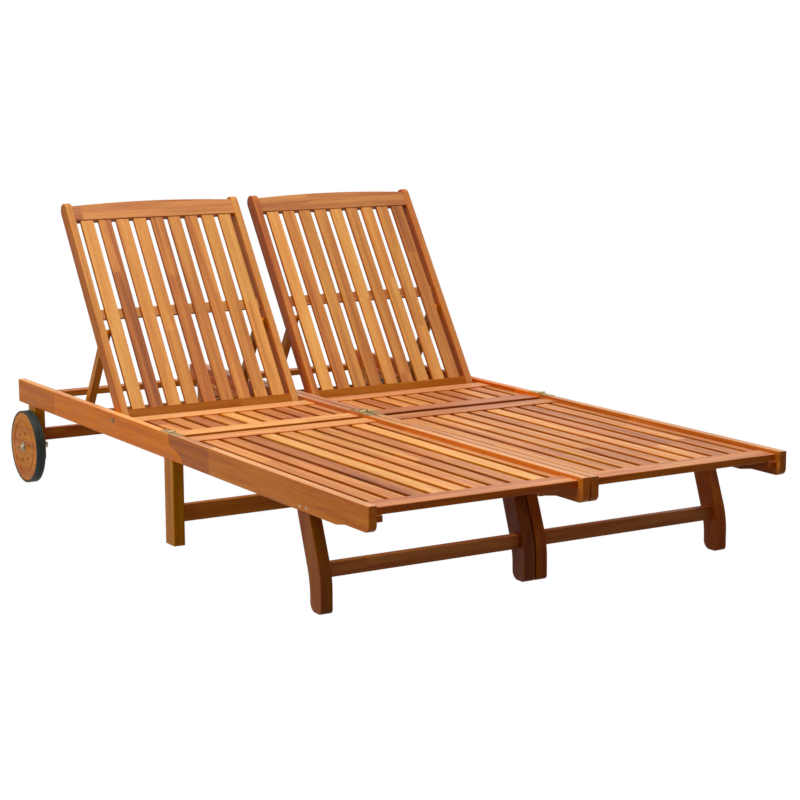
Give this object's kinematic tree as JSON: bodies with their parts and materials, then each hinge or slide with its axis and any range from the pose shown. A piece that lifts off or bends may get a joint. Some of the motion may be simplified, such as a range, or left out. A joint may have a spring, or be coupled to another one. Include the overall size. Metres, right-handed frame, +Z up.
{
  "type": "double chaise lounger",
  "caption": "Slatted wooden double lounger with tilting backrests on props, foot sections that fold up on hinges, and wheels at the head end.",
  "frame": {"origin": "on the ground, below the middle of the lounger's overall box", "axes": "+Y along the lounger from the foot end to the wheel end, +X across, +Z up"},
  "size_m": [1.2016, 2, 0.7999],
  "materials": {
    "wood": "oiled acacia, satin",
    "steel": "zinc-plated steel",
    "tyre": "matt black rubber"
  },
  "bodies": {
    "frame": {"left_outer_side_rail": "wood", "left_inner_side_rail": "wood", "right_outer_side_rail": "wood", "right_inner_side_rail": "wood", "seat_ledgers": "wood", "seat_cross_rails": "wood", "seat_slats": "wood", "head_cross_rails": "wood", "mid_posts": "wood", "wheel_legs": "wood", "inner_rear_legs": "wood", "mid_stretchers": "wood", "rear_stretchers": "wood", "notched_racks": "wood", "frame_screws": "steel", "hinge_frame_leaves": "steel", "hinge_pins": "steel", "backrest_pivot_bolts": "steel", "joining_bolts": "steel", "axle_bolts": "steel"},
    "left_foot_section": {"left_foot_side_rails": "wood", "left_foot_front_cross_rail": "wood", "left_foot_rear_cross_rail": "wood", "left_foot_ledgers": "wood", "left_foot_slats": "wood", "left_foot_batten": "wood", "left_foot_legs": "wood", "left_foot_stretcher": "wood", "left_foot_hinge_leaves": "steel", "left_foot_screws": "steel"},
    "left_backrest": {"left_backrest_stiles": "wood", "left_crest_rail": "wood", "left_bottom_rail": "wood", "left_backrest_slats": "wood", "left_backrest_batten": "wood", "left_prop_pegs": "wood"},
    "left_prop": {"left_prop_arms": "wood", "left_prop_bar": "wood"},
    "left_wheel": {"left_wheel_disc": "wood", "left_tyre": "tyre"},
    "right_foot_section": {"right_foot_side_rails": "wood", "right_foot_front_cross_rail": "wood", "right_foot_rear_cross_rail": "wood", "right_foot_ledgers": "wood", "right_foot_slats": "wood", "right_foot_batten": "wood", "right_foot_legs": "wood", "right_foot_stretcher": "wood", "right_foot_hinge_leaves": "steel", "right_foot_screws": "steel"},
    "right_backrest": {"right_backrest_stiles": "wood", "right_crest_rail": "wood", "right_bottom_rail": "wood", "right_backrest_slats": "wood", "right_backrest_batten": "wood", "right_prop_pegs": "wood"},
    "right_prop": {"right_prop_arms": "wood", "right_prop_bar": "wood"},
    "right_wheel": {"right_wheel_disc": "wood", "right_tyre": "tyre"}
  },
  "joints": [
    {"name": "left_fold", "type": "hinge", "parent": "frame", "child": "left_foot_section", "pos_m": [-0.282, -0.022, 0.2833], "axis": [-1, 0, 0], "range_deg": [0, 135]},
    {"name": "left_recline", "type": "hinge", "parent": "frame", "child": "left_backrest", "pos_m": [-0.282, 0.32, 0.261], "axis": [-1, 0, 0], "range_deg": [0, 56.07]},
    {"name": "left_prop_swing", "type": "hinge", "parent": "left_backrest", "child": "left_prop", "pos_m": [-0.282, 0.47244, 0.46699], "axis": [1, 0, 0], "range_deg": [0, 111.27]},
    {"name": "left_wheel_spin", "type": "hinge", "parent": "frame", "child": "left_wheel", "pos_m": [-0.579, 0.895, 0.102], "axis": [1, 0, 0], "continuous": true},
    {"name": "right_fold", "type": "hinge", "parent": "frame", "child": "right_foot_section", "pos_m": [0.282, -0.022, 0.2833], "axis": [-1, 0, 0], "range_deg": [0, 135]},
    {"name": "right_recline", "type": "hinge", "parent": "frame", "child": "right_backrest", "pos_m": [0.282, 0.32, 0.261], "axis": [-1, 0, 0], "range_deg": [0, 56.07]},
    {"name": "right_prop_swing", "type": "hinge", "parent": "right_backrest", "child": "right_prop", "pos_m": [0.282, 0.47244, 0.46699], "axis": [1, 0, 0], "range_deg": [0, 111.27]},
    {"name": "right_wheel_spin", "type": "hinge", "parent": "frame", "child": "right_wheel", "pos_m": [0.579, 0.895, 0.102], "axis": [1, 0, 0], "continuous": true}
  ],
  "couplings": [
    {"joint": "left_prop_swing", "follows": "left_recline", "ratio": 1.9836},
    {"joint": "right_prop_swing", "follows": "right_recline", "ratio": 1.9836}
  ]
}
